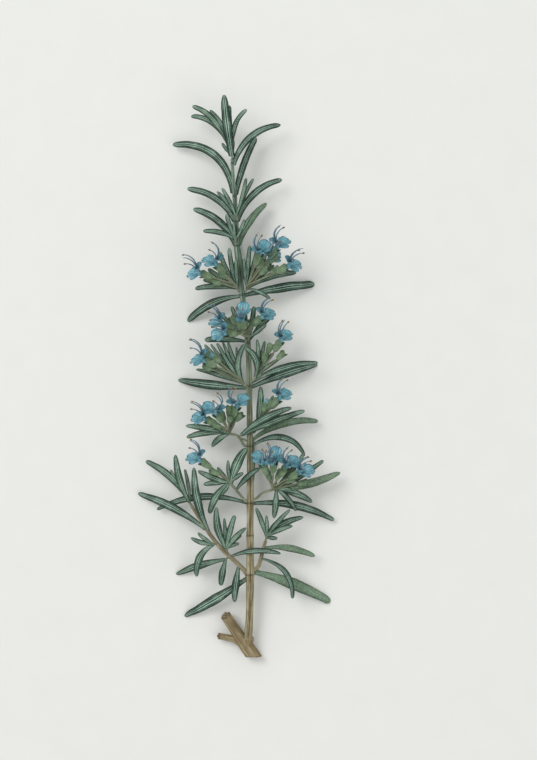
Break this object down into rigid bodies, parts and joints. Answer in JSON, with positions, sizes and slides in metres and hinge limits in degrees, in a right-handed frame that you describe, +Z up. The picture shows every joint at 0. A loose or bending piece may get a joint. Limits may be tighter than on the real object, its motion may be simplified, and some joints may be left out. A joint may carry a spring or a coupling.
{
  "type": "rosemary sprig",
  "caption": "Cut flowering rosemary sprig lying flat: a woody stem with a torn heel, side shoots, narrow leaves in whorls and small two-lipped flowers.",
  "frame": {"origin": "under the middle of the sprig's box, on the surface that it lies on", "axes": "+Y along the stem from the cut end to the growing tip, +X across the sprig, +Z up from the surface"},
  "size_m": [0.103, 0.283, 0.0314],
  "materials": {
    "wood": "rough bark",
    "green_stem": "matte green bark",
    "leaf": "satin leathery leaf, paler and matte beneath",
    "petal": "soft matte petal with a green calyx"
  },
  "bodies": {
    "root": {"main_stem": "wood", "left_shoot": "green_stem", "right_shoot": "green_stem", "leaf_1_left": "leaf", "leaf_1_right": "leaf", "leaf_1_down": "leaf", "leaf_1_arch": "leaf", "leaf_1_light": "leaf", "leaf_1_cross": "leaf", "leaf_left_shoot_upper": "leaf", "leaf_left_shoot_outer": "leaf", "leaf_2_left": "leaf", "leaf_2_cross": "leaf", "leaf_2_right": "leaf", "leaf_3_right_arch": "leaf", "leaf_3_right": "leaf", "leaf_4_left": "leaf", "leaf_4_right_up": "leaf", "leaf_4_right": "leaf", "leaf_5_left": "leaf", "leaf_5_right": "leaf", "leaf_6_left": "leaf", "leaf_6_right": "leaf", "leaf_7_left": "leaf", "leaf_7_right": "leaf", "leaf_8_left": "leaf", "leaf_8_right": "leaf", "leaf_9_left": "leaf", "leaf_9_right": "leaf", "leaf_10_right": "leaf", "leaf_top": "leaf", "leaf_back_1": "leaf", "leaf_back_2": "leaf", "tuft_left_shoot_tip": "leaf", "tuft_left_shoot_side": "leaf", "tuft_left_shoot_mid": "leaf", "tuft_left_shoot_low": "leaf", "tuft_right_shoot": "leaf", "tuft_2_left": "leaf", "tuft_2_right": "leaf", "tuft_3_left": "leaf", "tuft_3_cross": "leaf", "tuft_3_right": "leaf", "tuft_4_left": "leaf", "tuft_4_right": "leaf", "tuft_5": "leaf", "tuft_6_left": "leaf", "tuft_6_right": "leaf", "tuft_7": "leaf", "tuft_8": "leaf", "tuft_top": "leaf", "flowers_2_left": "petal", "flowers_2_right": "petal", "flowers_3_left": "petal", "flowers_3_right": "petal", "flowers_4_left": "petal", "flowers_4_right": "petal", "flowers_5": "petal", "flowers_6_left": "petal", "flowers_6_right": "petal"}
  },
  "joints": []
}
